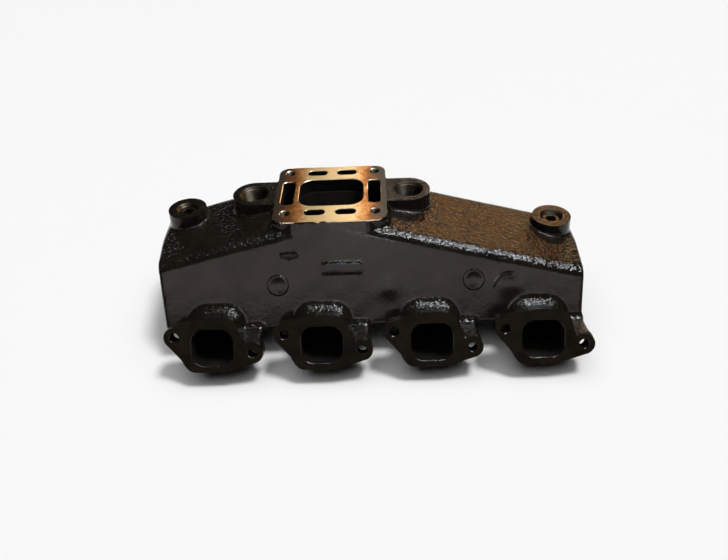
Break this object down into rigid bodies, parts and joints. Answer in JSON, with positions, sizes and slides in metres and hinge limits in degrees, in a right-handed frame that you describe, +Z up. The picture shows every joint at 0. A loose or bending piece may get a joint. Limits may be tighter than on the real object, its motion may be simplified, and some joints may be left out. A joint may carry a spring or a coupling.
{
  "type": "exhaust manifold",
  "caption": "Water-jacketed boat engine exhaust manifold: a sloped-roof casting with flanged ports along one side and a machined riser pad on top.",
  "frame": {"origin": "middle of the footprint, at the level of the underside", "axes": "+X along the engine, from the short end to the long end; +Y away from the cylinder head; +Z up, out of the riser face"},
  "size_m": [0.5036, 0.2286, 0.15],
  "materials": {
    "black_casting": "gloss black paint over a sand-cast surface",
    "machined_iron": "bare face-milled iron with a brown bloom",
    "rusty_inside": "bare cast iron",
    "plug_steel": "dark plated steel",
    "brass": "plain brass"
  },
  "bodies": {
    "root": {"front_wall": "black_casting", "belly_front": "black_casting", "belly_floor": "black_casting", "belly_rear": "black_casting", "rear_wall_right": "black_casting", "rear_wall_middle": "black_casting", "rear_wall_left": "black_casting", "end_wall_right": "black_casting", "end_wall_left": "black_casting", "riser_neck": "black_casting", "roof_left": "black_casting", "roof_right": "black_casting", "hose_boss_left": "black_casting", "hose_boss_right": "black_casting", "end_boss_left": "black_casting", "end_boss_right": "black_casting", "front_core_plug_1": "black_casting", "front_core_plug_2": "black_casting", "rear_core_plug_1": "black_casting", "rear_core_plug_2": "black_casting", "rear_core_plug_3": "black_casting", "drain_boss": "black_casting", "port_flange_1": "black_casting", "port_flange_2": "black_casting", "port_flange_3": "black_casting", "port_flange_4": "black_casting", "port_runner_1": "black_casting", "port_runner_2": "black_casting", "port_runner_3": "black_casting", "port_runner_4": "black_casting", "riser_flange": "machined_iron", "riser_duct": "rusty_inside", "exhaust_log": "rusty_inside", "end_plug_left": "plug_steel", "end_plug_right": "plug_steel", "drain_plug": "brass"}
  },
  "joints": []
}
